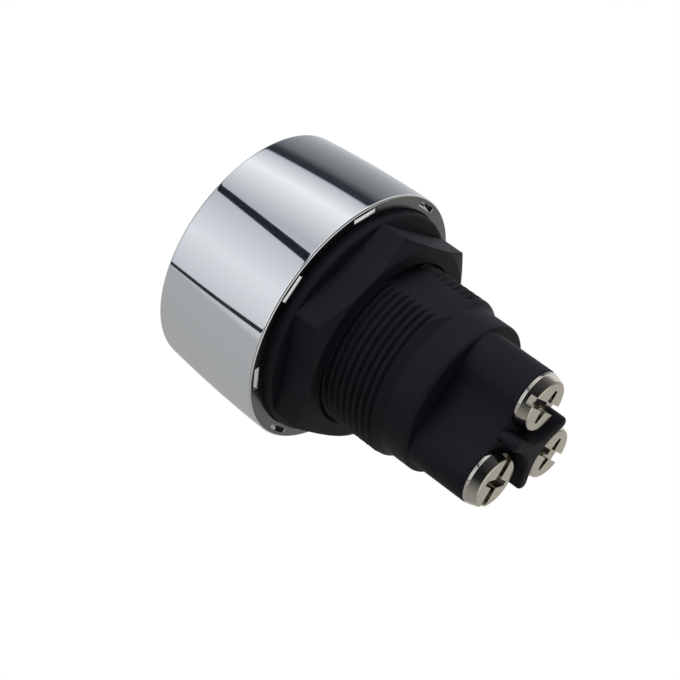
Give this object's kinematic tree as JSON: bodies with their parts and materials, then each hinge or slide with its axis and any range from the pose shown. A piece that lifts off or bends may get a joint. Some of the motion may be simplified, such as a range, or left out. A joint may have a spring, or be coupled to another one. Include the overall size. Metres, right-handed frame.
{
  "type": "engine start button",
  "caption": "Chromed panel push button for starting an engine, with threaded black body, flanged hex nut, lamp ring and screw terminals at the rear.",
  "frame": {"origin": "on the switch's axis, in the plane of the bezel's rear rim, where the panel's front face lies", "axes": "+Z along the axis out of the button's face, +X through the lamp terminal"},
  "size_m": [0.034, 0.034, 0.046],
  "materials": {
    "chrome_plate": "polished decorative chrome plate",
    "black_nylon": "satin moulded black nylon",
    "clear_polycarbonate": "frosted clear moulding",
    "cap_plastic": "plain black moulded cap",
    "contact_brass": "turned brass",
    "spring_steel": "drawn spring wire",
    "nickel_plate": "bright nickel plate on steel",
    "white_nylon": "natural white moulding",
    "led_epoxy": "tinted clear epoxy",
    "tinned_wire": "tinned wire",
    "resistor_enamel": "beige enamel"
  },
  "bodies": {
    "housing": {"bezel": "chrome_plate", "switch_body": "black_nylon", "feed_terminal": "contact_brass", "start_terminal": "contact_brass", "lamp_terminal": "contact_brass", "feed_screw": "nickel_plate", "start_screw": "nickel_plate", "lamp_screw": "nickel_plate", "lamp_holder": "white_nylon", "led": "led_epoxy", "led_feed_leg": "tinned_wire", "led_lamp_leg": "tinned_wire", "resistor": "resistor_enamel", "resistor_lead": "tinned_wire", "return_spring": "spring_steel"},
    "button": {"button_cap": "cap_plastic", "light_guide": "clear_polycarbonate", "stem_clip": "spring_steel", "contact_spring": "spring_steel"},
    "contact": {"contact_disc": "contact_brass"},
    "nut": {"panel_nut": "black_nylon"}
  },
  "joints": [
    {"name": "button_press", "type": "slide", "parent": "housing", "child": "button", "axis": [0, 0, -1], "range_m": [0, 0.0025], "stiffness_N_per_m": 300, "springref_m": -0.009, "deforming": ["return_spring"]},
    {"name": "contact_close", "type": "slide", "parent": "housing", "child": "contact", "axis": [0, 0, -1], "range_m": [0, 0.00195], "deforming": ["contact_spring"]},
    {"name": "nut_run", "type": "slide", "parent": "housing", "child": "nut", "axis": [0, 0, -1], "range_m": [0, 0.007]}
  ],
  "couplings": [
    {"joint": "contact_close", "follows": "button_press", "ratio": 0.78}
  ]
}
